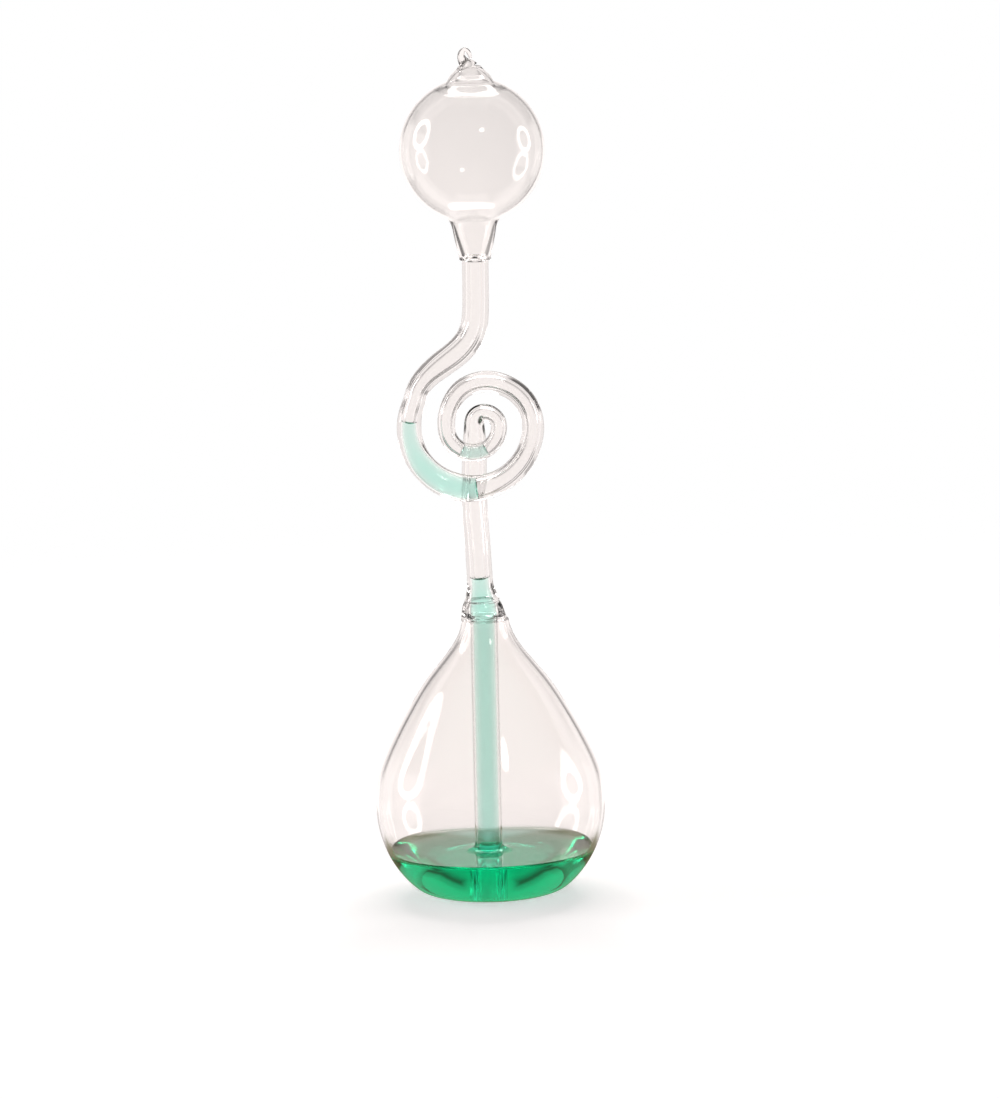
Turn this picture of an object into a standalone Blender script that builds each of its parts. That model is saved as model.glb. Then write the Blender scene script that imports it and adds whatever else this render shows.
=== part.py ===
"""A glass hand boiler: a drop-shaped lower bulb, a dip tube, a coiled riser and a round upper bulb.

Metres, +Z up. The origin is the centre of the flat that the lower bulb stands on, and -Y is the front.
"""

import math

import bmesh
import bpy
from mathutils import Matrix, Vector

MM = 0.001

# Bulbs
BULB_SIDES = 40
LOWER_WALL = 1.1
UPPER_WALL = 0.6
LOWER_RADIUS = 28.4
LOWER_WIDEST_Z = 21.7
LOWER_DEPTH = 27.0
BASE_FLAT_RADIUS = 13.0
NECK_RIM_Z = 68.8
UPPER_RADIUS = 18.0
UPPER_CENTRE_Z = 186.7
CROWN_RIM_Z = 207.6
BALL_TOP_ANGLE = 66.0
BALL_END_ANGLE = -65.0
BALL_STEPS = 14

# Tubes
DIP_RADIUS = 3.4
DIP_BORE = 2.0
DIP_FOOT = Vector((-0.8, 0.0, 3.0))
DIP_HEAD = Vector((-0.4, 0.0, 68.8))
SEAL_FOOT = Vector((-0.35, 0.0, 69.1))
SEAL_HEAD = Vector((-1.02, 0.0, 77.0))
RISER_FOOT_Z = 77.3
STEM_TOP_Z = 158.7
RISER_BORE_SHARE = 0.4
RISER_BORE_LEAST = 0.27
TUBE_BEVEL = 5
BORE_BEVEL = 4

# Coil, as circles seen from the front: centre X, depth Y, centre Z
OUTER_TURN = Vector((-2.44, -2.7, 117.57))
OUTER_TURN_RADIUS = 15.1
OUTER_TURN_TILT = (-1.0, 1.1)
OVER_TURN = Vector((2.2, -3.5, 118.3))
INNER_TURN = Vector((-1.755, -2.95, 117.8))
INNER_TURN_RADIUS = 6.53
INNER_TURN_TILT = (0.35, 0.05)
LAST_TURN = Vector((1.5, -0.8, 118.0))

# Liquids
GAP = 0.3
POOL_TOP_Z = 10.4
MENISCUS_Z = 79.6
MENISCUS_X = -1.05
OUTER_SLUG_ARC = (168.0, 273.5)
OUTER_SLUG_GIRTHS = [0.95, 1.0, 1.25, 1.6, 1.65, 1.45]
INNER_SLUG_ARC = (240.0, 300.0)

GLASS = (0.86, 0.89, 0.88)
SEAM_GLASS = (0.76, 0.79, 0.78)
POOL_GREEN = (0.01, 0.52, 0.27)
TUBE_GREEN = (0.42, 0.80, 0.66)


def collection(name):
    made = bpy.data.collections.new(name)
    bpy.context.scene.collection.children.link(made)
    return made


def material(name, colour, roughness):
    made = bpy.data.materials.new(name)
    made.use_nodes = True
    shader = made.node_tree.nodes["Principled BSDF"]
    shader.inputs["Base Color"].default_value = (*colour, 1.0)
    shader.inputs["Roughness"].default_value = roughness
    shader.inputs["Metallic"].default_value = 0.0
    return made


def add(name, mesh, home, look):
    made = bpy.data.objects.new(name, mesh)
    home.objects.link(made)
    if look:
        mesh.materials.append(look)
    return made


def smooth(knots, per_span):
    """Points of a smooth curve through the knots, whatever their spacing."""
    points = [Vector(knot) for knot in knots]
    at = [0.0]
    for first, second in zip(points, points[1:]):
        at.append(at[-1] + (second - first).length)
    last = len(points) - 1
    slopes = []
    for i in range(last + 1):
        low, high = max(i - 1, 0), min(i + 1, last)
        slopes.append((points[high] - points[low]) / (at[high] - at[low]))
    made = []
    for i in range(last):
        span = at[i + 1] - at[i]
        for k in range(per_span):
            u = k / per_span
            made.append(
                points[i] * (2 * u**3 - 3 * u**2 + 1)
                + slopes[i] * (span * (u**3 - 2 * u**2 + u))
                + points[i + 1] * (3 * u**2 - 2 * u**3)
                + slopes[i + 1] * (span * (u**3 - u**2))
            )
    made.append(points[last])
    return made


def inset(profile, depth):
    """The profile moved inwards, at right angles to its own run, by depth."""
    made = []
    last = len(profile) - 1
    for i, point in enumerate(profile):
        run = profile[min(i + 1, last)] - profile[max(i - 1, 0)]
        side = Vector((run.y, -run.x)).normalized()
        made.append(Vector((max(point.x + side.x * depth, 0.0), point.y + side.y * depth)))
    return made


def revolve(name, profile, home, look, sides, is_loop):
    """A turned piece. The profile is (radius, height) in millimetres, down the outer side."""
    mesh = bpy.data.meshes.new(name)
    count = len(profile)
    edges = [(i, (i + 1) % count) for i in range(count if is_loop else count - 1)]
    mesh.from_pydata([(p.x * MM, 0.0, p.y * MM) for p in profile], edges, [])
    made = add(name, mesh, home, look)
    screw = made.modifiers.new("turned", "SCREW")
    screw.axis = "Z"
    screw.steps = sides
    screw.render_steps = sides
    screw.use_merge_vertices = True
    screw.merge_threshold = 0.00001
    screw.use_smooth_shade = True
    return made


def settle(made):
    """The object's modifiers worked out into its mesh."""
    graph = bpy.context.evaluated_depsgraph_get()
    mesh = bpy.data.meshes.new_from_object(made.evaluated_get(graph))
    old = made.data
    made.modifiers.clear()
    made.data = mesh
    bpy.data.meshes.remove(old)
    mesh.name = made.name


def lean(made, foot, head):
    """Slide each level sideways, so that the piece's axis runs from foot to head."""
    settle(made)
    slope = (head.x - foot.x) / (head.z - foot.z)
    for vertex in made.data.vertices:
        vertex.co.x += foot.x * MM + slope * (vertex.co.z - foot.z * MM)


def sweep(name, rows, home, look, bevel):
    """A round tube or rod along rows of x, y, z and radius, in millimetres, with closed ends."""
    curve = bpy.data.curves.new(name, "CURVE")
    curve.dimensions = "3D"
    curve.bevel_depth = MM
    curve.bevel_resolution = bevel
    curve.use_fill_caps = True
    spline = curve.splines.new("POLY")
    spline.points.add(len(rows) - 1)
    for point, row in zip(spline.points, rows):
        point.co = (row[0] * MM, row[1] * MM, row[2] * MM, 1.0)
        point.radius = row[3]
    guide = bpy.data.objects.new(name + "_guide", curve)
    home.objects.link(guide)
    bpy.context.view_layer.update()
    graph = bpy.context.evaluated_depsgraph_get()
    mesh = bpy.data.meshes.new_from_object(guide.evaluated_get(graph))
    mesh.materials.clear()
    bpy.data.objects.remove(guide)
    made = add(name, mesh, home, look)
    join_caps(mesh)
    return made


def join_caps(mesh):
    work = bmesh.new()
    work.from_mesh(mesh)
    bmesh.ops.remove_doubles(work, verts=work.verts, dist=0.000001)
    bmesh.ops.recalc_face_normals(work, faces=work.faces)
    work.to_mesh(mesh)
    work.free()


def bore_out(tube, cutter):
    cut = tube.modifiers.new("bore", "BOOLEAN")
    cut.operation = "DIFFERENCE"
    cut.solver = "EXACT"
    cut.object = cutter
    cutter.hide_render = True
    cutter.display_type = "WIRE"


def hang_on(made, origin):
    """Put the object's origin on its joint's axis without moving its shape."""
    made.data.transform(Matrix.Translation(-origin * MM))
    made.location = origin * MM


def soften(made):
    made.data.shade_smooth()
    made.data.set_sharp_from_angle(angle=math.radians(40))


def lower_profile():
    """Outer side of the drop-shaped bulb, from its neck down to the middle of its flat."""
    shoulder = smooth(
        [
            (5.75, NECK_RIM_Z),
            (6.5, 65.8),
            (8.7, 61.8),
            (11.9, 57.7),
            (15.1, 53.7),
            (18.5, 48.5),
            (22.4, 41.6),
            (26.0, 34.2),
            (27.9, 28.4),
            (LOWER_RADIUS, LOWER_WIDEST_Z),
        ],
        2,
    )
    belly = []
    for step in range(1, 9):
        z = LOWER_WIDEST_Z * (1 - step / 8) ** 1.15 + 0.9
        reach = (LOWER_WIDEST_Z - z) / LOWER_DEPTH
        belly.append(Vector((LOWER_RADIUS * math.sqrt(1 - reach**2), z)))
    belly = [point for point in belly if point.y < LOWER_WIDEST_Z - 1]
    heel = [Vector((15.6, 0.28)), Vector((BASE_FLAT_RADIUS, 0.0))]
    return shoulder + belly + heel + [Vector((0.0, 0.0))]


def lower_inside():
    """Inner side of the lower bulb, from its neck down to the middle of its floor."""
    inner = inset(lower_profile()[:-2], LOWER_WALL)
    inner[0] = Vector((inner[0].x, NECK_RIM_Z))
    return inner + [Vector((0.0, LOWER_WALL))]


def upper_profile():
    """Outer side of the round bulb, from its open crown down to its neck."""
    crown = [(2.9, CROWN_RIM_Z), (3.2, 207.1), (4.0, 206.3), (4.95, 205.4), (5.45, 204.6), (5.85, 203.9)]
    crown = [Vector(p) for p in crown]
    ball = []
    for step in range(BALL_STEPS + 1):
        angle = math.radians(BALL_TOP_ANGLE + (BALL_END_ANGLE - BALL_TOP_ANGLE) * step / BALL_STEPS)
        ball.append(Vector((UPPER_RADIUS * math.cos(angle), UPPER_CENTRE_Z + UPPER_RADIUS * math.sin(angle))))
    neck = [(6.4, 169.5), (5.85, 168.6), (5.5, 167.5), (5.15, 165.5), (4.75, 163.5), (4.3, 161.3)]
    return crown + ball + [Vector(p) for p in neck]


def shell(name, outer, inner, home, look):
    """A thin turned shell, from its outer and inner sides, both top to bottom."""
    closed_floor = outer[-1].x == 0.0
    loop = list(reversed(inner)) + outer
    return revolve(name, loop, home, look, BULB_SIDES, not closed_floor)


def arc(centre, start, end, radii, depths, girths, bores, steps):
    """Rows along a front-view arc: x, y, z, girth, bore. Each list holds values spread evenly along it."""
    rows = []
    for step in range(steps + 1):
        u = step / steps
        angle = math.radians(start + (end - start) * u)
        radius = spread(radii, u)
        x, z = centre.x + radius * math.cos(angle), centre.z + radius * math.sin(angle)
        rows.append((x, spread(depths, u), z, spread(girths, u), spread(bores, u)))
    return rows


def spread(values, u):
    place = u * (len(values) - 1)
    low = min(int(place), len(values) - 2)
    return values[low] + (values[low + 1] - values[low]) * (place - low)


def tilted(centre, tilt, angle):
    """Depth of a turn that lies in a slightly tilted plane, at an angle in degrees."""
    turn = math.radians(angle)
    return centre.y + tilt[0] * math.cos(turn) + tilt[1] * math.sin(turn)


def turn_rows(centre, radius, tilt, start, end, girths, bores, steps):
    depths = [tilted(centre, tilt, start + (end - start) * i / steps) for i in range(steps + 1)]
    return arc(centre, start, end, [radius, radius], depths, girths, bores, steps)


def outer_turn():
    """The big turn. Its bore widens in the bottom of the bend, and it opens out a little as it climbs."""
    girths = [2.8, 3.05, 3.1, 3.2, 3.4, 3.4, 3.15, 2.9]
    bores = [1.26, 1.26, 1.48, 1.95, 2.05, 2.05, 1.9, 1.5]
    round_part = turn_rows(OUTER_TURN, OUTER_TURN_RADIUS, OUTER_TURN_TILT, 155.0, 300.0, girths, bores, 28)
    depths = [tilted(OUTER_TURN, OUTER_TURN_TILT, 300.0 + 15.0 * i) for i in range(5)]
    opening = [OUTER_TURN_RADIUS, 15.2, 15.4, 15.65]
    climb = arc(OUTER_TURN, 300.0, 360.0, opening, depths, [2.9, 2.8, 2.72, 2.75], [1.5, 1.4, 1.3, 1.25], 12)
    return round_part + climb[1:]


def coil_rows():
    """The whole bent tube, from the top of the stem to the foot of the riser."""
    first = outer_turn()
    neck = smooth(
        [
            (0.0, 0.0, STEM_TOP_Z, 3.3, 1.59),
            (-0.1, 0.0, 152.0, 3.28, 1.58),
            (-0.25, 0.0, 146.5, 3.3, 1.59),
            (-0.7, -0.05, 142.8, 3.35, 1.63),
            (-1.8, -0.1, 139.9, 3.38, 1.7),
            (-3.6, -0.2, 137.5, 3.38, 1.8),
            (-6.0, -0.4, 135.4, 3.36, 1.85),
            (-9.3, -0.65, 133.1, 3.3, 1.7),
            (-12.7, -0.95, 130.4, 3.0, 1.4),
            (-15.1, -1.15, 127.3, 2.8, 1.27),
            first[0],
        ],
        3,
    )
    over = arc(
        OVER_TURN,
        5.0,
        182.0,
        [10.9, 10.8, 10.72, 11.0, 11.2, 10.7, 10.5],
        [-3.7, -3.6, -3.45, -3.3],
        [2.75, 2.7, 2.7, 2.65, 2.5, 2.3, 2.17],
        [1.25, 1.2, 1.22, 1.2, 1.28, 1.3, 1.15],
        26,
    )
    girths, bores = [2.17, 2.17, 1.98], [1.15, 1.08, 1.1, 1.06]
    inner = turn_rows(INNER_TURN, INNER_TURN_RADIUS, INNER_TURN_TILT, 182.0, 360.0, girths, bores, 24)
    last = arc(
        LAST_TURN,
        12.0,
        180.0,
        [3.3, 3.0, 3.0, 3.1, 2.9],
        [-2.5, -1.8, -0.9, 0.0, 0.9],
        [2.0, 2.2, 2.5],
        [1.06, 1.15, 1.25],
        14,
    )
    riser = smooth(
        [
            riser_knot(-1.38, 1.2, 116.7, 2.6),
            riser_knot(-1.42, 2.4, 113.8, 2.85),
            riser_knot(-1.5, 3.0, 110.6, 3.05),
            riser_knot(-1.7, 3.1, 105.5, 3.1),
            riser_knot(-1.88, 3.1, 101.0, 3.15),
            riser_knot(-1.85, 2.7, 97.2, 3.18),
            riser_knot(-1.72, 1.6, 92.8, 3.2),
            riser_knot(-1.45, 0.5, 88.4, 3.2),
            riser_knot(-1.25, 0.05, 84.0, 3.2),
            riser_knot(-1.0, 0.0, RISER_FOOT_Z, 3.25),
        ],
        3,
    )
    return [tuple(row) for row in neck[:-1]] + first + over + inner[1:] + last + [tuple(row) for row in riser]


def riser_knot(x, y, z, girth):
    return (x, y, z, girth, RISER_BORE_LEAST + RISER_BORE_SHARE * girth)


def stretched(rows, reach):
    """The rows with a further point beyond each end, for a cutter longer than its tube."""
    first, second = Vector(rows[0][:3]), Vector(rows[1][:3])
    last, before = Vector(rows[-1][:3]), Vector(rows[-2][:3])
    head = first + (first - second).normalized() * reach
    foot = last + (last - before).normalized() * reach
    return [(*head, rows[0][3])] + rows + [(*foot, rows[-1][3])]


def glass_shells(home):
    look = material("bulb_glass", GLASS, 0.05)
    lower = shell("lower_bulb", lower_profile(), lower_inside(), home, look)
    upper_look = material("upper_glass", GLASS, 0.05)
    outer = upper_profile()
    inner = inset(outer, UPPER_WALL)
    inner[0] = Vector((2.2, CROWN_RIM_Z))
    inner[-1] = Vector((3.4, outer[-1].y))
    upper = shell("upper_bulb", outer, inner, home, upper_look)
    for made in (lower, upper):
        settle(made)


def seals(home):
    """The ring seal at the lower bulb's neck, the seam under the upper bulb, and the drawn-off tip."""
    look = material("seal_glass", SEAM_GLASS, 0.08)
    skirt = smooth([(3.5, 77.0), (3.8, 75.9), (4.3, 74.2), (4.95, 72.3), (5.4, 70.5), (5.8, 69.1)], 2)
    hollow = [(2.0, 69.1), (2.05, 69.6), (2.4, 69.9), (2.35, 72.8), (2.0, 74.6), (1.6, 76.2), (1.55, 77.0)]
    neck_seal = revolve("neck_seal", skirt + [Vector(p) for p in hollow], home, look, 36, True)
    lean(neck_seal, SEAL_FOOT, SEAL_HEAD)
    seam = smooth([(4.2, 161.0), (4.3, 160.4), (4.1, 159.8), (3.6, 159.0)], 2)
    throat = [(1.65, 159.0), (1.8, 160.0), (2.6, 161.0)]
    seam_look = material("seam_glass", SEAM_GLASS, 0.08)
    upper_seal = revolve("upper_seal", seam + [Vector(p) for p in throat], home, seam_look, 36, True)
    settle(upper_seal)
    nib = smooth(
        [
            (-0.6, 0.0, CROWN_RIM_Z + GAP, 2.2),
            (-0.61, 0.0, 208.1, 2.0),
            (-1.6, 0.0, 209.1, 1.3),
            (-2.0, 0.0, 210.2, 1.0),
            (-1.85, 0.0, 211.2, 0.8),
            (-1.1, 0.0, 211.8, 0.65),
            (-0.3, 0.0, 211.4, 0.6),
            (0.2, 0.0, 210.3, 0.5),
        ],
        3,
    )
    sweep("seal_tip", nib, home, material("tip_glass", SEAM_GLASS, 0.08), TUBE_BEVEL)


def tubes(home, cutters):
    look = material("dip_glass", GLASS, 0.05)
    half = [(DIP_RADIUS, DIP_HEAD.z), (DIP_RADIUS, 50.0), (DIP_RADIUS, 25.0), (DIP_RADIUS, DIP_FOOT.z)]
    hole = [(DIP_BORE, DIP_FOOT.z), (DIP_BORE, 25.0), (DIP_BORE, 50.0), (DIP_BORE, DIP_HEAD.z)]
    dip = revolve("dip_tube", [Vector(p) for p in half + hole], home, look, 32, True)
    lean(dip, DIP_FOOT, DIP_HEAD)
    rows = coil_rows()
    coil = sweep("coil_tube", rows, home, material("coil_glass", GLASS, 0.05), TUBE_BEVEL)
    hole = [(*row[:3], row[4]) for row in rows]
    bore = sweep("coil_bore", stretched(hole, 1.0), cutters, None, BORE_BEVEL)
    bore_out(coil, bore)


def pool(home):
    look = material("pool_liquid", POOL_GREEN, 0.1)
    side = [point for point in inset(lower_inside(), GAP) if point.y < POOL_TOP_Z - 0.5]
    side[-1] = Vector((0.0, LOWER_WALL + GAP))
    widest = LOWER_RADIUS * math.sqrt(1 - ((LOWER_WIDEST_Z - POOL_TOP_Z) / LOWER_DEPTH) ** 2)
    rim = [Vector((widest - LOWER_WALL * 1.1 - GAP, POOL_TOP_Z))]
    well = DIP_RADIUS + GAP
    hole = [(0.0, DIP_FOOT.z - GAP), (well, DIP_FOOT.z - GAP), (well, POOL_TOP_Z + 0.9), (well + 0.9, POOL_TOP_Z + 0.1)]
    hole.append((well + 2.6, POOL_TOP_Z))
    made = revolve("liquid_pool", [Vector(p) for p in hole] + rim + side, home, look, BULB_SIDES, False)
    settle(made)
    for vertex in made.data.vertices:
        if math.hypot(vertex.co.x, vertex.co.y) < (well + 3) * MM:
            vertex.co.x += DIP_FOOT.x * MM


def rods(home):
    """The column up the dip tube and the two slugs in the coil: each fills its bore but for a gap."""
    rows = smooth(
        [
            (DIP_FOOT.x, 0.0, DIP_FOOT.z + GAP, DIP_BORE - GAP),
            (-0.63, 0.0, 36.0, DIP_BORE - GAP),
            (DIP_HEAD.x, 0.0, DIP_HEAD.z, DIP_BORE - GAP),
            (-0.48, 0.0, 70.6, 2.0),
            (-0.64, 0.0, 72.5, 2.0),
            (-0.86, 0.0, 75.2, 1.45),
            (-1.02, 0.0, 77.0, 1.25),
            (MENISCUS_X, 0.0, MENISCUS_Z, 1.25),
        ],
        4,
    )
    column = sweep("liquid_column", rows, home, material("column_liquid", TUBE_GREEN, 0.1), BORE_BEVEL)
    hang_on(column, Vector((MENISCUS_X, 0.0, MENISCUS_Z)))
    outer = turn_rows(OUTER_TURN, OUTER_TURN_RADIUS, OUTER_TURN_TILT, *OUTER_SLUG_ARC, OUTER_SLUG_GIRTHS, [0.0, 0.0], 24)
    slug = sweep("outer_slug", outer, home, material("outer_liquid", TUBE_GREEN, 0.1), BORE_BEVEL)
    hang_on(slug, OUTER_TURN)
    inner = turn_rows(INNER_TURN, INNER_TURN_RADIUS, INNER_TURN_TILT, *INNER_SLUG_ARC, [0.8, 0.76], [0.0, 0.0], 12)
    slug = sweep("inner_slug", inner, home, material("inner_liquid", TUBE_GREEN, 0.1), BORE_BEVEL)
    hang_on(slug, INNER_TURN)


def main():
    for old in list(bpy.data.objects):
        bpy.data.objects.remove(old)
    home = collection("hand_boiler")
    cutters = collection("cutters")
    glass_shells(home)
    tubes(home, cutters)
    seals(home)
    pool(home)
    rods(home)
    for made in home.objects:
        soften(made)


main()
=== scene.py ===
"""The look of a glass hand boiler: clear blown glass, green liquid, a bright studio."""

import math

import bmesh
import bpy
import numpy as np
from mathutils import Matrix, Vector


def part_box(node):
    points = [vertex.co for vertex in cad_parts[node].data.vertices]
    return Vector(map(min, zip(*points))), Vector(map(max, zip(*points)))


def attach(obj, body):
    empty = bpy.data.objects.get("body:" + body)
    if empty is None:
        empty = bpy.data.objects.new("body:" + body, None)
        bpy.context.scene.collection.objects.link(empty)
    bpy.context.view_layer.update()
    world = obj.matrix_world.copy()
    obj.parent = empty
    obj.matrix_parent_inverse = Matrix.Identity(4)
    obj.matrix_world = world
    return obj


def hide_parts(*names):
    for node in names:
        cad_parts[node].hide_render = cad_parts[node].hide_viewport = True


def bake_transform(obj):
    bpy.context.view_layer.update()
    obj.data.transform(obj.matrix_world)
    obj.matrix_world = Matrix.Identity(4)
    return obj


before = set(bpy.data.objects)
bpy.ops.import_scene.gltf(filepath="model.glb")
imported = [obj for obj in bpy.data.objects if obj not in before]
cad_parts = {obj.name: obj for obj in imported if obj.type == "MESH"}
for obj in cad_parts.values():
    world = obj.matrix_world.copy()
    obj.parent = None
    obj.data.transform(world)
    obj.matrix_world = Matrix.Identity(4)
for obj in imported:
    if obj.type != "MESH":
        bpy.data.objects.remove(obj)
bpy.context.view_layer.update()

MM = 0.001
GLASS_IOR = 1.47
LIQUID_IOR = 1.36

# Sizes from here on are millimetres. The first three are the gap that shows as a seam between two fused
# pieces, how far two pieces reach into each other where the joint doesn't show, and how far a liquid reaches
# into the glass that it wets.
SEAM = 0.03
LAP = 0.05
WET = 0.07

# Lower bulb and the pool in it
FLOOR_WALL = 1.1
WALL_HEIGHTS = [0.0, 12.0, 22.0, 45.0, 69.0]
WALL_DEPTHS = [FLOOR_WALL, 0.95, 0.85, 1.15, 1.1]
WIDEST_Z = 21.7
BELLY_DEPTH = 27.0
FLAT_RADIUS = 6.0
POOL_TOP = 10.4

# Dip tube, collar and the meniscus above it
DIP_FOOT = (-0.8, 3.0)
DIP_HEAD = (-0.4, 68.8)
DIP_RADIUS = 3.4
DIP_BORE = 2.0
SEAL_FOOT = (-0.35, 69.1)
SEAL_HEAD_Z = 73.3
SEAL_SLOPE = -0.085
RISER_FOOT = (-0.98, 76.5)
RISER_SLOPE = -0.0373
FLARE_TOP_Z = 78.5
MENISCUS_Z = 79.6
MENISCUS_CUP = 0.8

# Coil: circles seen from the front, as X and Z, and the slugs' arcs in degrees
OUTER_TURN = (-2.44, 117.57)
OUTER_TURN_RADIUS = 15.1
OUTER_TURN_Y = -2.7
OUTER_TURN_LEAN = (-1.0, 1.1)
OUTER_SLUG_ARC = (172.0, 277.0)
OVER_TURN = (2.2, 118.3)
INNER_TURN = (-1.755, 117.8)
INNER_TURN_RADIUS = 6.53
INNER_SLUG_ARC = (240.0, 300.0)
LAST_TURN = (1.5, 118.0)
RISER_BORE_LEAST = 0.27
RISER_BORE_SHARE = 0.4

# Upper bulb and the weld ring under it
STEM_TOP_Z = 159.2
RING_TOP_Z = 159.9
BALL_Z = 186.7
BALL_TOP_ANGLE = 66.0
BALL_STEP_ANGLE = 1.83
ROUND_WALL = 0.55


def node_mm(name):
    """Corners of a CAD node's box in millimetres."""
    low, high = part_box(name)
    return low / MM, high / MM


# --- shapes ----------------------------------------------------------------


def smooth(knots, per_span):
    """Points of a smooth curve through the knots, whatever their spacing."""
    points = np.array(knots, float)
    gaps = np.linalg.norm(np.diff(points, axis=0), axis=1)
    at = np.concatenate([[0.0], np.cumsum(gaps)])
    last = len(points) - 1
    slopes = np.empty_like(points)
    for i in range(last + 1):
        low, high = max(i - 1, 0), min(i + 1, last)
        slopes[i] = (points[high] - points[low]) / (at[high] - at[low])
    made = []
    for i in range(last):
        span = at[i + 1] - at[i]
        for k in range(per_span):
            u = k / per_span
            made.append(
                points[i] * (2 * u**3 - 3 * u**2 + 1)
                + slopes[i] * span * (u**3 - 2 * u**2 + u)
                + points[i + 1] * (3 * u**2 - 2 * u**3)
                + slopes[i + 1] * span * (u**3 - u**2)
            )
    made.append(points[last])
    return np.array(made)


def evened(rows, spacing, soften):
    """The rows at an even spacing along their run, with the run's small corners smoothed out."""
    rows = np.array(rows, float)
    run = np.concatenate([[0.0], np.cumsum(np.linalg.norm(np.diff(rows[:, :3], axis=0), axis=1))])
    count = int(run[-1] / spacing) + 1
    even = np.linspace(0.0, run[-1], count)
    out = np.stack([np.interp(even, run, rows[:, k]) for k in range(rows.shape[1])], axis=1)
    reach = int(3 * soften / spacing)
    if reach:
        ends = out[0], out[-1]
        before = 2 * out[0] - out[reach:0:-1]
        after = 2 * out[-1] - out[-2 : -reach - 2 : -1]
        weights = np.exp(-0.5 * (np.arange(-reach, reach + 1) * spacing / soften) ** 2)
        weights /= weights.sum()
        wide = np.concatenate([before, out, after])
        out = np.stack([np.convolve(wide[:, k], weights, mode="valid") for k in range(wide.shape[1])], axis=1)
        out[0], out[-1] = ends
    return out


def inset(profile, depth):
    """The profile moved to its inner side by depth."""
    run = np.gradient(profile, axis=0)
    side = np.stack([run[:, 1], -run[:, 0]], axis=1)
    side /= np.linalg.norm(side, axis=1)[:, None]
    made = profile + side * depth
    made[:, 0] = np.maximum(made[:, 0], 0.0)
    return made


def mesh_object(name, points, faces):
    """A smooth-shaded object from points in millimetres."""
    mesh = bpy.data.meshes.new(name)
    mesh.from_pydata([tuple(p * MM) for p in points], [], faces)
    mesh.validate()
    work = bmesh.new()
    work.from_mesh(mesh)
    bmesh.ops.recalc_face_normals(work, faces=work.faces)
    work.to_mesh(mesh)
    work.free()
    mesh.shade_smooth()
    mesh.set_sharp_from_angle(angle=math.radians(50))
    made = bpy.data.objects.new(name, mesh)
    bpy.context.scene.collection.objects.link(made)
    return made


def stitched(rings, closed):
    """Points and faces of a surface through rings of equal size. A ring of one point is a pole."""
    points = []
    starts = []
    for ring in rings:
        starts.append(len(points))
        points.extend(ring)
    faces = []
    sides = max(len(ring) for ring in rings)
    pairs = list(zip(range(len(rings)), range(1, len(rings))))
    if closed:
        pairs.append((len(rings) - 1, 0))
    for a, b in pairs:
        if len(rings[a]) == 1 and len(rings[b]) == 1:
            continue
        first, second = starts[a], starts[b]
        for k in range(sides):
            n = (k + 1) % sides
            if len(rings[a]) == 1:
                faces.append((first, second + k, second + n))
            elif len(rings[b]) == 1:
                faces.append((first + k, second, first + n))
            else:
                faces.append((first + k, second + k, second + n, first + n))
    return np.array(points), faces


def revolve(name, profile, sides=160, closed=False):
    """A turned surface through rows of radius, height and, where it leans, the axis's X."""
    turn = np.arange(sides) * 2 * math.pi / sides
    rings = []
    for radius, z, *at in profile:
        x = at[0] if at else 0.0
        if radius < 1e-6:
            rings.append([np.array([x, 0.0, z])])
        else:
            ring = np.stack([x + radius * np.cos(turn), radius * np.sin(turn), np.full(sides, z)], axis=1)
            rings.append(list(ring))
    points, faces = stitched(rings, closed)
    return mesh_object(name, points, faces)


def frames_along(centres):
    """Two directions across the run at each centre, carried along it without twist."""
    tangents = np.gradient(centres, axis=0)
    tangents /= np.linalg.norm(tangents, axis=1)[:, None]
    first = np.cross(tangents[0], [0.0, 1.0, 0.0])
    first /= np.linalg.norm(first)
    across = [first]
    for tangent in tangents[1:]:
        side = across[-1] - tangent * np.dot(across[-1], tangent)
        across.append(side / np.linalg.norm(side))
    across = np.array(across)
    return tangents, across, np.cross(tangents, across)


def ring_at(centre, side, up, radius, sides):
    turn = np.arange(sides) * 2 * math.pi / sides
    return list(centre + radius * (np.cos(turn)[:, None] * side + np.sin(turn)[:, None] * up))


def tube(name, rows, bores, sides=96, lip=0.04):
    """A bent glass tube: outer skin, inner skin, and rounded rims that join them."""
    centres = rows[:, :3]
    tangents, side, up = frames_along(centres)
    last = len(rows) - 1

    def rim(i, way):
        """Three rings that round the outer edge at an end, from its face to the full girth."""
        made = []
        for along, down in ((0.0, 1.0), (0.3, 0.3), (1.0, 0.0)):
            centre = centres[i] + way * tangents[i] * lip * along
            made.append(ring_at(centre, side[i], up[i], rows[i, 3] - lip * down, sides))
        return made

    rings = rim(0, 1)
    rings += [ring_at(centres[i], side[i], up[i], rows[i, 3], sides) for i in range(1, last)]
    rings += rim(last, -1)[::-1]
    rings += [ring_at(centres[i], side[i], up[i], bores[i], sides) for i in range(last, -1, -1)]
    points, faces = stitched(rings, True)
    return mesh_object(name, points, faces)


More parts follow.
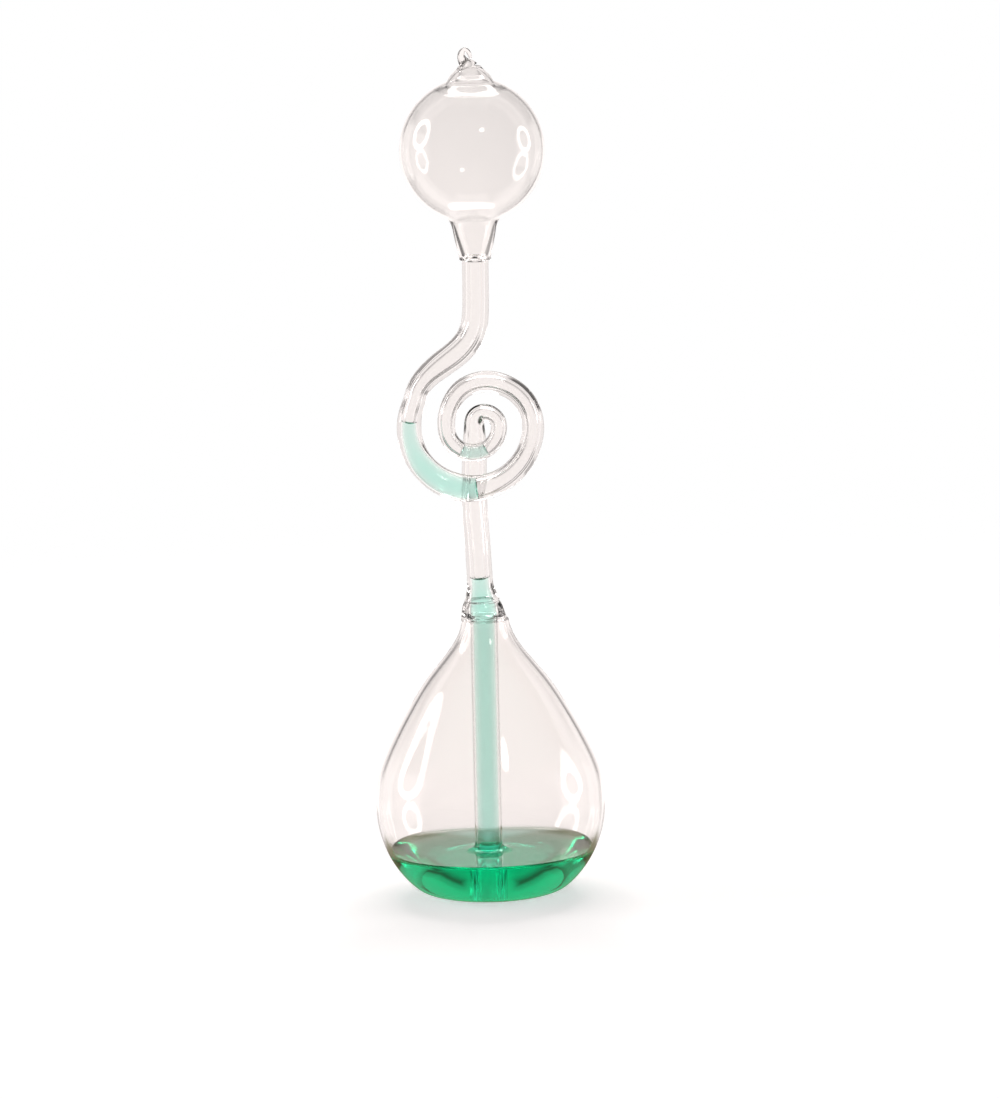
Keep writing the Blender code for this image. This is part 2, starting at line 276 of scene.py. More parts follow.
def rod(name, rows, cups, sides=56):
    """A liquid thread along the rows. Each end is hollowed by its cup, as a wetting liquid's is."""
    centres = rows[:, :3]
    tangents, side, up = frames_along(centres)
    last = len(rows) - 1
    shares = np.cos(np.linspace(0.0, math.pi / 2, 15))[::-1]

    def cap(i, way, cup):
        rings = []
        for share in shares[:-1]:
            sunk = centres[i] + tangents[i] * way * cup * math.sqrt(max(1 - share**2, 0.0))
            if share < 1e-6:
                rings.append([sunk])
            else:
                rings.append(ring_at(sunk, side[i], up[i], rows[i, 3] * share, sides))
        return rings

    rings = cap(0, 1, cups[0])
    for i in range(last + 1):
        rings.append(ring_at(centres[i], side[i], up[i], rows[i, 3], sides))
    rings.extend(cap(last, -1, cups[1])[::-1])
    points, faces = stitched(rings, False)
    return mesh_object(name, points, faces)


# --- the bulbs --------------------------------------------------------------


def relaxed(profile, times):
    """The profile with its small corners eased. Its ends stay where they are."""
    made = np.array(profile, float)
    for _ in range(times):
        made[1:-1] = made[1:-1] * 0.5 + (made[:-2] + made[2:]) * 0.25
    return made


def lower_outer():
    """Outer side of the drop-shaped bulb, from its neck down to the middle of its flat."""
    high = node_mm("lower_bulb")[1]
    widest = high.x
    shoulder = smooth(
        [
            (5.75, high.z),
            (6.5, 65.8),
            (8.7, 61.8),
            (11.9, 57.7),
            (15.1, 53.7),
            (18.5, 48.5),
            (22.4, 41.6),
            (26.0, 34.2),
            (27.9, 28.4),
            (widest, WIDEST_Z),
        ],
        10,
    )
    belly = []
    for step in range(1, 40):
        angle = math.radians(step * 1.28)
        belly.append((widest * math.cos(angle), WIDEST_Z - BELLY_DEPTH * math.sin(angle)))
    heel = smooth([belly[-1], (15.6, 0.28), (14.2, 0.04), (13.0, 0.0)], 6)[1:]
    return np.concatenate([relaxed([*shoulder, *belly, *heel], 12), [(FLAT_RADIUS, 0.0), (0.0, 0.0)]])


def lower_inner(extra=0.0):
    """Inner side of the lower bulb, from its neck down to the middle of its floor, moved out by extra."""
    outer = lower_outer()[:-2]
    wall = np.interp(outer[:, 1], WALL_HEIGHTS, WALL_DEPTHS)
    inner = inset(outer, wall[:, None] - extra)
    inner[0, 1] = outer[0, 1]
    inner = inner[inner[:, 1] > FLOOR_WALL - extra]
    return np.concatenate([inner, [(FLAT_RADIUS, FLOOR_WALL - extra), (0.0, FLOOR_WALL - extra)]])


def upper_outer():
    """Outer side of the round bulb, from its open crown down to its neck."""
    radius = node_mm("upper_bulb")[1].x
    crown = [(2.9, 207.6), (3.2, 207.1), (4.0, 206.3), (4.95, 205.4), (5.45, 204.6), (5.85, 203.85)]
    crown.append((6.5, 203.5))
    ball = []
    for step in range(73):
        angle = math.radians(BALL_TOP_ANGLE - step * BALL_STEP_ANGLE)
        ball.append((radius * math.cos(angle), BALL_Z + radius * math.sin(angle)))
    neck = [(6.4, 169.5), (5.85, 168.6), (5.5, 167.5), (5.15, 165.5), (4.75, 163.5), (4.3, 161.6)]
    neck.append((3.9, RING_TOP_Z - LAP))
    crown = smooth([*crown, ball[0]], 5)[:-1]
    neck = smooth([ball[-1], *neck], 5)[1:]
    return relaxed([*crown, *ball, *neck], 8)


def lean_at(z):
    """X of the dip tube's axis at a height."""
    return DIP_FOOT[0] + (DIP_HEAD[0] - DIP_FOOT[0]) * (z - DIP_FOOT[1]) / (DIP_HEAD[1] - DIP_FOOT[1])


def seal_at(z):
    """X of the collar's axis at a height."""
    return SEAL_FOOT[0] + SEAL_SLOPE * (z - SEAL_FOOT[1])


def bulbs():
    """The two blown shells. Their walls thicken where they were worked: at the necks and the crown."""
    outer, inner = lower_outer(), lower_inner()
    lower = revolve("lower_bulb_glass", [*outer, *inner[::-1]], closed=True)
    outer = upper_outer()
    heights = [160.0, 165.5, 169.5, 202.0, 204.0, 206.5]
    wall = np.interp(outer[:, 1], heights, [1.4, 0.9, ROUND_WALL, ROUND_WALL, 0.9, 1.3])
    inner = inset(outer, wall[:, None])
    inner[0, 1], inner[-1, 1] = outer[0, 1], outer[-1, 1]
    upper = revolve("upper_bulb_glass", [*outer, *inner[::-1]], closed=True)
    return lower, upper


def seals():
    """The collar under the riser, hollow round the dip tube's head, and the weld ring at the stem's top."""
    foot = DIP_HEAD[1] - LAP
    head = SEAL_HEAD_Z + LAP
    skirt = smooth([(4.4, head), (4.95, 72.2), (5.35, 70.6), (5.75, foot)], 6)
    under = [(4.6, foot), (4.4, foot + 0.6), (4.0, foot + 0.85), (3.65, foot + 0.6), (3.45, foot)]
    bore = [(z, bore_at(z)) for z in np.linspace(foot, head, 24)]
    loop = [*skirt, *smooth(under, 4), *[(r, z) for z, r in bore]]
    collar = revolve("neck_seal_glass", [(r, z, seal_at(z)) for r, z in loop], 112, closed=True)
    low, high = STEM_TOP_Z + SEAM, RING_TOP_Z
    loop = smooth([(3.75, high), (3.95, 159.6), (3.85, low + 0.15), (3.55, low)], 5)
    loop = [*loop, (1.7, low), (1.9, (low + high) / 2), (2.25, high)]
    ring = revolve("upper_seal_glass", loop, 112, closed=True)
    return collar, ring


def bore_at(z):
    """Bore of the collar and of the riser's flared foot."""
    heights = [68.8, 69.0, 69.35, 69.8, 72.0, 73.3, 74.6, 76.0, 77.4, FLARE_TOP_Z]
    radii = [2.0, 2.0, 2.2, 2.42, 2.4, 2.22, 1.95, 1.72, 1.6, 1.58]
    return float(np.interp(z, heights, radii))


def arc(centre, start, end, radii, depth, girths, bores, steps):
    """Rows of x, y, z, girth and bore along a front-view arc. Each list is spread evenly along it.

    depth gives Y from the angle in radians and from the share of the arc.
    """

    def spread(values, share):
        return float(np.interp(share, np.linspace(0, 1, len(values)), values))

    rows = []
    for u in np.linspace(0.0, 1.0, steps + 1):
        angle = math.radians(start + (end - start) * u)
        radius = spread(radii, u)
        x, z = centre[0] + radius * math.cos(angle), centre[1] + radius * math.sin(angle)
        rows.append((x, depth(angle, u), z, spread(girths, u), spread(bores, u)))
    return rows


def outer_depth(angle, _):
    return OUTER_TURN_Y + OUTER_TURN_LEAN[0] * math.cos(angle) + OUTER_TURN_LEAN[1] * math.sin(angle)


def outer_turn():
    """The big turn. Its bore widens in the bottom of the bend, and it opens out a little as it climbs."""
    girths = [2.8, 3.05, 3.1, 3.2, 3.4, 3.4, 3.15, 2.9]
    bores = [1.26, 1.26, 1.48, 1.95, 2.05, 2.05, 1.9, 1.5]
    radius = OUTER_TURN_RADIUS
    round_part = arc(OUTER_TURN, 155.0, 300.0, [radius, radius], outer_depth, girths, bores, 90)
    climb = [2.9, 2.8, 2.72, 2.75], [1.5, 1.4, 1.3, 1.25]
    opening = [radius, 15.2, 15.4, 15.65]
    return round_part + arc(OUTER_TURN, 300.0, 360.0, opening, outer_depth, *climb, 36)[1:]


def riser_knot(x, y, z, girth):
    return (x, y, z, girth, RISER_BORE_LEAST + RISER_BORE_SHARE * girth)


def coil_rows():
    """The whole bent tube, from the top of the stem to the foot of the riser."""
    first = outer_turn()
    neck = smooth(
        [
            (0.0, 0.0, STEM_TOP_Z, 3.3, 1.59),
            (-0.1, 0.0, 152.0, 3.28, 1.58),
            (-0.25, 0.0, 146.5, 3.3, 1.59),
            (-0.7, -0.05, 142.8, 3.35, 1.63),
            (-1.8, -0.1, 139.9, 3.38, 1.7),
            (-3.6, -0.2, 137.5, 3.38, 1.8),
            (-6.0, -0.4, 135.4, 3.36, 1.85),
            (-9.3, -0.65, 133.1, 3.3, 1.7),
            (-12.7, -0.95, 130.4, 3.0, 1.4),
            (-15.1, -1.15, 127.3, 2.8, 1.27),
            first[0],
        ],
        16,
    )
    over = arc(
        OVER_TURN,
        5.0,
        182.0,
        [10.9, 10.8, 10.72, 11.0, 11.2, 10.7, 10.5],
        lambda a, u: np.interp(u, [0, 0.33, 0.67, 1], [-3.7, -3.6, -3.45, -3.3]),
        [2.75, 2.7, 2.7, 2.65, 2.5, 2.3, 2.17],
        [1.25, 1.2, 1.22, 1.2, 1.28, 1.3, 1.15],
        100,
    )
    inner = arc(
        INNER_TURN,
        182.0,
        360.0,
        [INNER_TURN_RADIUS, INNER_TURN_RADIUS],
        lambda a, u: -2.95 + 0.35 * math.cos(a) + 0.05 * math.sin(a),
        [2.17, 2.17, 1.98],
        [1.15, 1.08, 1.1, 1.06],
        80,
    )
    last = arc(
        LAST_TURN,
        12.0,
        180.0,
        [3.3, 3.0, 3.0, 3.1, 2.9],
        lambda a, u: np.interp(u, [0, 0.25, 0.5, 0.75, 1], [-2.5, -1.8, -0.9, 0.0, 0.9]),
        [2.0, 2.2, 2.5],
        [1.06, 1.15, 1.25],
        56,
    )
    riser = smooth(
        [
            riser_knot(-1.38, 1.2, 116.7, 2.6),
            riser_knot(-1.42, 2.4, 113.8, 2.85),
            riser_knot(-1.5, 3.0, 110.6, 3.05),
            riser_knot(-1.7, 3.1, 105.5, 3.1),
            riser_knot(-1.88, 3.1, 101.0, 3.15),
            riser_knot(-1.85, 2.7, 97.2, 3.18),
            riser_knot(-1.72, 1.6, 92.8, 3.2),
            riser_knot(-1.45, 0.5, 88.4, 3.2),
            riser_knot(-1.25, 0.05, 84.0, 3.2),
            (-1.06, 0.0, 78.6, 3.2, bore_at(78.6)),
            (-1.0, 0.0, 77.0, 3.3, bore_at(77.0)),
            (-0.88, 0.0, 75.4, 3.75, bore_at(75.4)),
            (seal_at(SEAL_HEAD_Z), 0.0, SEAL_HEAD_Z, 4.4, bore_at(SEAL_HEAD_Z)),
        ],
        16,
    )
    return [*neck[:-1], *first, *over, *inner[1:], *last, *riser]


def tubes():
    """The bent tube and the dip tube, with the bent tube's rows and bores, which the slugs follow."""
    rows = evened(coil_rows(), 0.3, 0.8)
    bores = rows[:, 4].copy()
    for i, row in enumerate(rows):
        if row[2] < FLARE_TOP_Z:
            bores[i] = bore_at(row[2])
    coil = tube("coil_tube_glass", rows, bores)
    heights = np.linspace(DIP_HEAD[1], DIP_FOOT[1], 90)
    dip_rows = np.array([(lean_at(z), 0.0, z, DIP_RADIUS) for z in heights])
    dip = tube("dip_tube_glass", dip_rows, np.full(90, DIP_BORE), lip=0.5)
    return coil, dip, rows, bores


def tip():
    """The drawn-off nib on the crown, curled over to the right."""
    knots = [
        (-0.6, 0.0, 207.62, 2.6),
        (-0.75, 0.0, 208.0, 2.1),
        (-1.3, 0.0, 208.7, 1.5),
        (-1.8, 0.0, 209.5, 1.15),
        (-2.0, 0.0, 210.4, 0.95),
        (-1.75, 0.0, 211.3, 0.8),
        (-1.1, 0.0, 211.8, 0.68),
        (-0.35, 0.0, 211.4, 0.6),
        (0.1, 0.0, 210.5, 0.52),
        (0.25, 0.0, 209.9, 0.4),
    ]
    rows = evened(smooth(knots, 10), 0.12, 0.2)
    return rod("seal_tip_glass", rows, (-0.05, -0.35), 40)


# --- the liquids ------------------------------------------------------------


def pool():
    """The liquid in the lower bulb, drawn up where it wets the wall and the dip tube that stands in it."""
    wall_climb, wall_width = 1.0, 1.0
    tube_climb, tube_width = 1.5, 0.8
    wall = lower_inner(extra=WET)
    wall = wall[wall[:, 1] < POOL_TOP + wall_climb]
    wide = wall[0, 0]
    hole = DIP_RADIUS - WET
    surface = []
    for share in (1 - np.cos(np.linspace(0, math.pi, 70))) / 2:
        radius = hole + (wide - hole) * share
        climb = tube_climb * math.exp(-(radius - hole) / tube_width)
        climb += wall_climb * math.exp(-(wide - radius) / wall_width)
        surface.append((radius, POOL_TOP + climb, lean_at(POOL_TOP) * (1 - share)))
    foot = DIP_FOOT[1] + WET
    well = [(0.0, foot, lean_at(foot)), (1.2, foot, lean_at(foot)), (2.6, foot, lean_at(foot))]
    well += [(hole - 0.35, foot + 0.03, lean_at(foot)), (hole, foot + 0.45, lean_at(foot))]
    well += [(hole, z, lean_at(z)) for z in np.linspace(foot + 0.6, POOL_TOP + 1.3, 12)]
    return revolve("liquid_pool_body", [*well, *surface, *wall[1:]])


def column():
    """The liquid in the dip tube, the collar and the riser's foot, up to its hollow meniscus."""
    rows = []
    for z in np.concatenate([np.linspace(DIP_FOOT[1], 68.6, 90), np.linspace(68.8, MENISCUS_Z, 60)]):
        if z <= DIP_HEAD[1]:
            rows.append((lean_at(z), 0.0, z, DIP_BORE + WET))
        elif z <= RISER_FOOT[1]:
            rows.append((seal_at(z), 0.0, z, bore_at(z) + WET))
        else:
            x = RISER_FOOT[0] + RISER_SLOPE * (z - RISER_FOOT[1])
            rows.append((x, 0.0, z, bore_at(z) + WET))
    return rod("liquid_column_body", np.array(rows), (0.0, MENISCUS_CUP))


def slug(name, rows, bores, centre, radius, span, cup):
    """The stretch of the bent tube's bore between the span's two front-view angles round centre."""
    across, up = rows[:, 0] - centre[0], rows[:, 2] - centre[1]
    angle = np.degrees(np.arctan2(up, across)) % 360
    in_front = rows[:, 1] < -1.0
    held = (angle >= span[0]) & (angle <= span[1]) & (np.abs(np.hypot(across, up) - radius) < 0.6) & in_front
    chosen = rows[held].copy()
    chosen[:, 3] = bores[held] + WET
    return rod(name, chosen, (cup, cup), 64)


# --- materials --------------------------------------------------------------


class Nodes:
    """Short ways to write a node tree."""

    def __init__(self, tree):
        self.tree = tree

    def add(self, kind, inputs=None, **settings):
        made = self.tree.nodes.new(kind)
        for key, value in settings.items():
            setattr(made, key, value)
        for key, value in (inputs or {}).items():
            self.put(made.inputs[key], value)
        return made

    def put(self, socket, value):
        if isinstance(value, bpy.types.NodeSocket):
            self.tree.links.new(value, socket)
        else:
            socket.default_value = value

    def math(self, operation, *values):
        made = self.add("ShaderNodeMath", operation=operation)
        for socket, value in zip(made.inputs, values):
            self.put(socket, value)
        return made.outputs[0]

    def step(self, value, low, high):
        """0 below low, 1 above high, and smooth between. It runs the other way when low is above high."""
        made = self.add("ShaderNodeMapRange", interpolation_type="SMOOTHSTEP")
        self.put(made.inputs["Value"], value)
        flip = low > high
        made.inputs["From Min"].default_value = min(low, high)
        made.inputs["From Max"].default_value = max(low, high)
        made.inputs["To Min"].default_value = 1.0 if flip else 0.0
        made.inputs["To Max"].default_value = 0.0 if flip else 1.0
        return made.outputs["Result"]

    def times(self, *values):
        """The product of all the values."""
        made = values[0]
        for value in values[1:]:
            made = self.math("MULTIPLY", made, value)
        return made

    def most(self, *values):
        """The greatest of all the values."""
        made = values[0]
        for value in values[1:]:
            made = self.math("MAXIMUM", made, value)
        return made

    def rest(self, value):
        """1 less the value."""
        return self.math("SUBTRACT", 1.0, value)


def new_material(name):
    made = bpy.data.materials.new(name)
    made.use_nodes = True
    made.node_tree.nodes.clear()
    return made, Nodes(made.node_tree)


def ripple(nodes, scale, strength, stretch):
    """A faint unevenness, as in glass drawn and blown by hand."""
    place = nodes.add("ShaderNodeTexCoord").outputs["Object"]
    mapped = nodes.add("ShaderNodeMapping", {"Vector": place, "Scale": stretch})
    broad = nodes.add("ShaderNodeTexNoise", {"Vector": mapped.outputs[0], "Scale": scale, "Detail": 1.5})
    fine = nodes.add("ShaderNodeTexNoise", {"Vector": mapped.outputs[0], "Scale": scale * 5, "Detail": 2.0})
    height = nodes.math("ADD", broad.outputs["Fac"], nodes.math("MULTIPLY", fine.outputs["Fac"], 0.12))
    bump = nodes.add("ShaderNodeBump", {"Height": height, "Strength": strength, "Distance": 0.001})
    return bump.outputs[0], broad.outputs["Fac"], fine.outputs["Fac"]


def glass(name, tint, scale=60.0, strength=0.01, stretch=(1.0, 1.0, 0.5), tone_and_shade_tint=None, rise=None):
    """Clear glass. Its tint wanders a little, or, with rise, darkens over its two heights: painted shade,
    darker to the top and right.
    """
    made, nodes = new_material(name)
    normal, broad, fine = ripple(nodes, scale, strength, stretch)
    share = broad
    # Painted shade: over the heights of rise the tint goes to the darker colour, so the glass is darker
    # towards its top and its right.
    if rise:
        place = nodes.add("ShaderNodeTexCoord").outputs["Object"]
        at = nodes.add("ShaderNodeSeparateXYZ", {"Vector": place}).outputs
        height = nodes.math("ADD", at["Z"], nodes.math("MULTIPLY", at["X"], 0.5))
        wander = nodes.math("MULTIPLY", nodes.math("SUBTRACT", broad, 0.5), 0.012)
        share = nodes.step(nodes.math("ADD", height, wander), rise[0] * MM, rise[1] * MM)
    tone_and_shade_tint = tone_and_shade_tint or tuple(c * 0.985 for c in tint)
    colour = nodes.add("ShaderNodeMix", data_type="RGBA")
    nodes.put(colour.inputs["Factor"], share)
    nodes.put(colour.inputs["A"], (*tint, 1.0))
    nodes.put(colour.inputs["B"], (*tone_and_shade_tint, 1.0))
    rough = nodes.math("MULTIPLY", nodes.step(fine, 0.55, 0.8), 0.004)
    shader = nodes.add(
        "ShaderNodeBsdfPrincipled",
        {
            "Base Color": colour.outputs["Result"],
            "Roughness": rough,
            "IOR": GLASS_IOR,
            "Transmission Weight": 1.0,
            "Normal": normal,
        },
    )
    nodes.add("ShaderNodeOutputMaterial", {"Surface": shader.outputs[0]})
    return made


def liquid(name, dye, density):
    """A clear dyed liquid. dye is the colour a long way in, and density how fast it gets there, per metre."""
    made, nodes = new_material(name)
    normal, _, fine = ripple(nodes, 90.0, 0.01, (1.0, 1.0, 1.0))
    shader = nodes.add(
        "ShaderNodeBsdfPrincipled",
        {
            "Base Color": (1.0, 1.0, 1.0, 1.0),
            "Roughness": nodes.math("MULTIPLY", fine, 0.004),
            "IOR": LIQUID_IOR,
            "Transmission Weight": 1.0,
            "Normal": normal,
        },
    )
    volume = nodes.add("ShaderNodeVolumeAbsorption", {"Color": (*dye, 1.0), "Density": density})
    nodes.add("ShaderNodeOutputMaterial", {"Surface": shader.outputs[0], "Volume": volume.outputs[0]})
    return made


# --- the studio -------------------------------------------------------------


# The light is drawn in the camera's own directions: across to the right, up and ahead, as the parts of a
# vector of length 1. Straight behind the object, ahead is 1.
BACKDROP = 1.12
WALLS = 0.95
CEILING = 0.8
GROUND = 0.9
LEFT_WALL = 0.8
GLOW = 0.97
ROOM_COLOUR = (1.0, 0.94, 0.92, 1.0)
# Each ring light's direction, and its radius as a chord on the sphere of directions
RING_LIGHTS = (((0.97, 0.21, 0.08), 0.21), ((-0.95, 0.30, 0.08), 0.25), ((0.0, 0.90, 0.42), 0.3))
RING_STRENGTH = 5.0
LAMP = (0.26, 0.52, -0.81)
LAMP_STRENGTH = 8.0


def room(nodes, across, up, ahead):
    """Light from the backdrop and from the room's walls, ceiling and ground."""
    sideways = nodes.math("ABSOLUTE", across)
    near = nodes.times(nodes.step(ahead, 0.44, 0.52), nodes.step(ahead, 0.84, 0.78))
    backdrop = nodes.step(ahead, 0.85, 0.915)
    walls = nodes.times(near, nodes.step(nodes.math("ABSOLUTE", up), 0.42, 0.3))
    ceiling = nodes.times(near, nodes.step(sideways, 0.3, 0.2), nodes.step(up, 0.3, 0.5))
    ground = nodes.times(nodes.step(up, -0.3, -0.45), nodes.step(ahead, -0.1, 0.1))
    left = nodes.times(nodes.step(across, -0.15, -0.4), nodes.step(up, 0.25, 0.05))
    left = nodes.times(left, nodes.step(ahead, 0.5, 0.8))
    return nodes.most(
        nodes.times(backdrop, BACKDROP),
        nodes.times(walls, WALLS),
        nodes.times(ceiling, CEILING),
        nodes.times(ground, GROUND),
        nodes.times(left, LEFT_WALL),
    )


def through_glass(nodes, level, across, up, ahead):
    """The level, brighter all round for rays that have passed through glass, with dark diagonal parts.

    The dark parts draw the lines along the bores of the tubes that run aslant. The upright and level
    directions stay bright, so the upright tubes hardly have such lines.
    """
    path = nodes.add("ShaderNodeLightPath")
    through = nodes.step(path.outputs["Transmission Depth"], 0.2, 0.8)
    reach = nodes.math("ADD", nodes.math("MULTIPLY", across, across), nodes.math("MULTIPLY", up, up))
    slant = nodes.math("DIVIDE", nodes.times(nodes.math("ABSOLUTE", across), up), reach)
    aside = nodes.math("DIVIDE", across, nodes.math("SQRT", reach))
    high_left = nodes.times(nodes.step(aside, -0.78, -0.82), nodes.step(aside, -0.94, -0.9))
    high_left = nodes.times(high_left, nodes.step(up, 0.0, 0.1), 0.5)
    leftward = nodes.math("ADD", 0.6, nodes.times(nodes.step(across, 0.0, -0.1), 0.35))
    low_side = nodes.times(nodes.step(slant, -0.3, -0.42), leftward)
    gloom = nodes.times(nodes.step(ahead, 0.5, 0.55), nodes.step(ahead, 0.9, 0.88))
    gloom = nodes.times(nodes.most(low_side, high_left), gloom)
    glow = nodes.times(nodes.step(ahead, 0.2, 0.3), nodes.step(ahead, 0.875, 0.84), nodes.rest(gloom))
    turned = nodes.math("ABSOLUTE", aside)
    square = nodes.most(nodes.step(turned, 0.4, 0.25), nodes.step(turned, 0.93, 0.96))
    glow = nodes.most(glow, nodes.times(square, nodes.step(ahead, -0.3, -0.1)))
    level = nodes.times(level, nodes.rest(nodes.times(through, gloom)))
    level = nodes.most(level, nodes.times(through, glow, GLOW))
    high_side = nodes.times(nodes.step(ahead, 0.985, 0.92), nodes.step(ahead, 0.8, 0.84))
    high_side = nodes.times(nodes.step(slant, 0.15, 0.33), high_side, 0.32)
    return nodes.times(level, nodes.rest(high_side))


def lamps(nodes, way):
    """Light from the ring lights and the one small lamp."""
    rings = []
    for aim, radius in RING_LIGHTS:
        aim = Vector(aim).normalized()
        towards = nodes.add("ShaderNodeVectorMath", {0: way, 1: aim}, operation="DISTANCE").outputs["Value"]
        off = nodes.math("ABSOLUTE", nodes.math("SUBTRACT", towards, radius))
        rings.append(nodes.step(off, radius * 0.27, radius * 0.16))
    aim = Vector(LAMP).normalized()
    towards = nodes.add("ShaderNodeVectorMath", {0: way, 1: aim}, operation="DOT_PRODUCT").outputs["Value"]
    lamp = nodes.times(nodes.step(towards, 0.9975, 0.9985), LAMP_STRENGTH)
    return nodes.math("ADD", nodes.times(nodes.most(*rings), RING_STRENGTH), lamp)


def studio():
    """The light round the object. The camera itself sees plain white."""
    world = bpy.data.worlds.new("studio")
    bpy.context.scene.world = world
    world.use_nodes = True
    world.node_tree.nodes.clear()
    nodes = Nodes(world.node_tree)
    way = nodes.add("ShaderNodeVectorMath", operation="NORMALIZE")
    nodes.put(way.inputs[0], nodes.add("ShaderNodeTexCoord").outputs["Camera"])
    way = way.outputs[0]
    across, up, ahead = nodes.add("ShaderNodeSeparateXYZ", {"Vector": way}).outputs
    level = through_glass(nodes, room(nodes, across, up, ahead), across, up, ahead)
    base = nodes.math("ADD", 0.03, nodes.times(nodes.step(ahead, -0.3, 0.2), 0.11))
    base = nodes.math("ADD", base, nodes.times(nodes.step(up, 0.1, 0.7), 0.08))
    level = nodes.math("ADD", nodes.most(level, base), lamps(nodes, way))
    lit = nodes.add("ShaderNodeBackground", {"Color": ROOM_COLOUR, "Strength": level})
    plain = nodes.add("ShaderNodeBackground", {"Color": (1.0, 1.0, 1.0, 1.0), "Strength": 1.0})
    path = nodes.add("ShaderNodeLightPath")
    seen = nodes.add("ShaderNodeMixShader", {0: path.outputs["Is Camera Ray"]})
    nodes.put(seen.inputs[1], lit.outputs[0])
    nodes.put(seen.inputs[2], plain.outputs[0])
    nodes.add("ShaderNodeOutputWorld", {"Surface": seen.outputs[0]})


# The floor, in metres
FLOOR_RADIUS = 0.9
FLOOR_DROP = 0.0002
SHADE_COLOUR = (0.24, 0.22, 0.13, 1.0)


def floor_in_glass(nodes, place, reach):
    """The floor as the glass shows it: in shade under the object, and dark on the camera's side of it."""
    turned = nodes.add("ShaderNodeVectorTransform", {"Vector": place}, vector_type="VECTOR")
    turned.convert_from = "WORLD"
    turned.convert_to = "CAMERA"
    across, _, ahead = nodes.add("ShaderNodeSeparateXYZ", {"Vector": turned.outputs[0]}).outputs
    behind = nodes.math("SUBTRACT", ahead, nodes.times(nodes.math("ABSOLUTE", across), 0.8))
    half_open = nodes.times(nodes.step(behind, 0.018, 0.026), 0.42)
    shade = nodes.add("ShaderNodeMix", data_type="RGBA")
    open_floor = nodes.most(nodes.step(reach, 0.045, 0.07), half_open, nodes.step(ahead, 0.03, 0.045))
    nodes.put(shade.inputs["Factor"], open_floor)
    nodes.put(shade.inputs["A"], SHADE_COLOUR)
    nodes.put(shade.inputs["B"], ROOM_COLOUR)
    strength = nodes.math("ADD", 0.05, nodes.times(nodes.step(ahead, -0.03, -0.012), 0.95))
    lit = nodes.add("ShaderNodeEmission", {"Color": shade.outputs["Result"], "Strength": strength})
    return lit.outputs[0]


def floor():
    """A pale disc that fades into the backdrop, sooner where it is seen in the glass."""
    place = (0.0, 0.0, -FLOOR_DROP)
    bpy.ops.mesh.primitive_circle_add(vertices=128, radius=FLOOR_RADIUS, fill_type="NGON", location=place)
    disc = bpy.context.object
    disc.name = "studio_floor"
    made, nodes = new_material("pale_floor")
    place = nodes.add("ShaderNodeTexCoord").outputs["Object"]
    reach = nodes.add("ShaderNodeVectorMath", {0: place}, operation="LENGTH").outputs["Value"]
    by_camera = nodes.add("ShaderNodeLightPath").outputs["Is Camera Ray"]
    fade = nodes.step(nodes.math("DIVIDE", reach, nodes.most(by_camera, 0.25)), 0.12, 0.5)
    matt = nodes.add("ShaderNodeBsdfDiffuse", {"Color": (0.9, 0.9, 0.9, 1.0)})
    glow = nodes.add("ShaderNodeEmission", {"Color": (1.0, 1.0, 1.0, 1.0), "Strength": 0.55})
    lit = nodes.add("ShaderNodeAddShader")
    nodes.put(lit.inputs[0], matt.outputs[0])
    nodes.put(lit.inputs[1], glow.outputs[0])
    seen = nodes.add("ShaderNodeMixShader", {0: by_camera})
    nodes.put(seen.inputs[1], floor_in_glass(nodes, place, reach))
    nodes.put(seen.inputs[2], lit.outputs[0])
    clear = nodes.add("ShaderNodeBsdfTransparent")
    mix = nodes.add("ShaderNodeMixShader", {0: fade})
    nodes.put(mix.inputs[1], seen.outputs[0])
    nodes.put(mix.inputs[2], clear.outputs[0])
    nodes.add("ShaderNodeOutputMaterial", {"Surface": mix.outputs[0]})
    disc.data.materials.append(made)


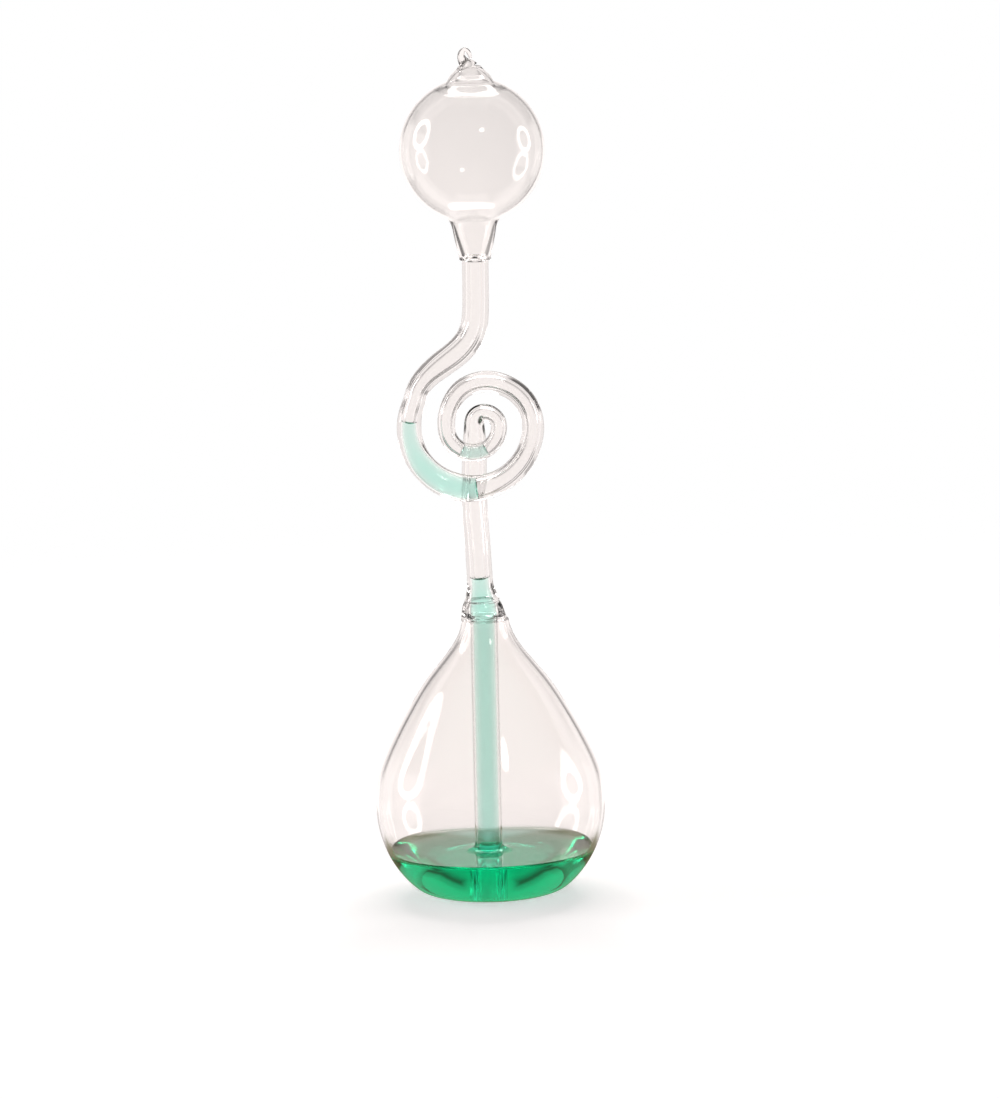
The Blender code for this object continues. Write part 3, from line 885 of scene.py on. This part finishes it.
def camera():
    """A long lens in front, a little above, rolled so that the object leans as a hand would hold it.

    below, above and beside are how far the pool, the tip and the axis stand from the frame's middle, as
    shares of its long side.
    """
    distance, elevation, roll = 5.0, 11.8, -1.63
    pool_height, tip_height = 0.0104, 0.2125
    rise = distance * math.tan(math.radians(elevation))
    height = pool_height + rise
    foot = math.atan2(height, distance)
    head = math.atan2(height - tip_height, distance)
    below, above, beside = 0.31075, 0.45774, 0.01512
    pitch = (foot * above + head * below) / (above + below)
    focal = (above + below) / (math.tan(foot - pitch) + math.tan(pitch - head))
    lens = bpy.data.cameras.new("camera")
    lens.lens = lens.sensor_width * focal
    lens.clip_start = 0.1
    made = bpy.data.objects.new("camera", lens)
    bpy.context.scene.collection.objects.link(made)
    aside = beside / focal * distance / math.cos(pitch)
    made.location = (aside, -distance, height)
    made.rotation_euler = (math.pi / 2 - pitch, 0.0, 0.0)
    rolled = made.rotation_euler.to_matrix() @ Matrix.Rotation(math.radians(roll), 3, "Z")
    made.rotation_euler = rolled.to_euler()
    bpy.context.scene.camera = made


def build():
    """Every piece with its material, on the body that it rides."""
    lower, upper = bulbs()
    collar, ring = seals()
    coil, dip, rows, bores = tubes()
    nib = tip()
    clear = glass("clear_bulb", (0.988, 0.978, 0.973))
    # Painted shade: the round bulb's glass darkens to this colour from 158 mm up to 208 mm, and sooner on its
    # right.
    tone_and_shade_tint = (0.905, 0.903, 0.9)
    round_clear = glass("clear_round_bulb", (0.965, 0.96, 0.955), tone_and_shade_tint=tone_and_shade_tint, rise=(158.0, 208.0))
    drawn = glass("clear_tube", (0.98, 0.977, 0.973), 40.0, 0.0015, (1.0, 1.0, 0.3))
    worked = glass("worked_glass", (0.985, 0.98, 0.975), 220.0, 0.03, (1.0, 1.0, 1.0))
    green = liquid("green_pool", (0.0, 0.945, 0.79), 135.0)
    pale = liquid("green_thread", (0.0, 0.96, 0.77), 118.0)
    made = [
        (lower, "lower_bulb", clear, "bulb_glass"),
        (upper, "upper_bulb", round_clear, "upper_glass"),
        (collar, "neck_seal", worked, "seal_glass"),
        (ring, "upper_seal", worked, "seam_glass"),
        (coil, "coil_tube", drawn, "coil_glass"),
        (dip, "dip_tube", drawn, "dip_glass"),
        (nib, "seal_tip", worked, "tip_glass"),
        (pool(), "liquid_pool", green, "pool_liquid"),
    ]
    for piece, node, look, slot in made:
        piece.data.materials.append(look)
        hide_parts(node)
        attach(piece, "glassware")
    outer = slug("outer_slug_body", rows, bores, OUTER_TURN, OUTER_TURN_RADIUS, OUTER_SLUG_ARC, 0.7)
    inner = slug("inner_slug_body", rows, bores, INNER_TURN, INNER_TURN_RADIUS, INNER_SLUG_ARC, 0.5)
    for piece, node, slot in ((outer, "outer_slug", "outer_liquid"), (inner, "inner_slug", "inner_liquid")):
        piece.data.materials.append(pale)
        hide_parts(node)
        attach(piece, node)
    thread = column()
    thread.data.materials.append(pale)
    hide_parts("liquid_column")
    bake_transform(thread)


build()
studio()
floor()
camera()

scene = bpy.context.scene
scene.view_settings.view_transform = "Standard"
scene.cycles.max_bounces = 32
scene.cycles.transmission_bounces = 32
scene.cycles.glossy_bounces = 12
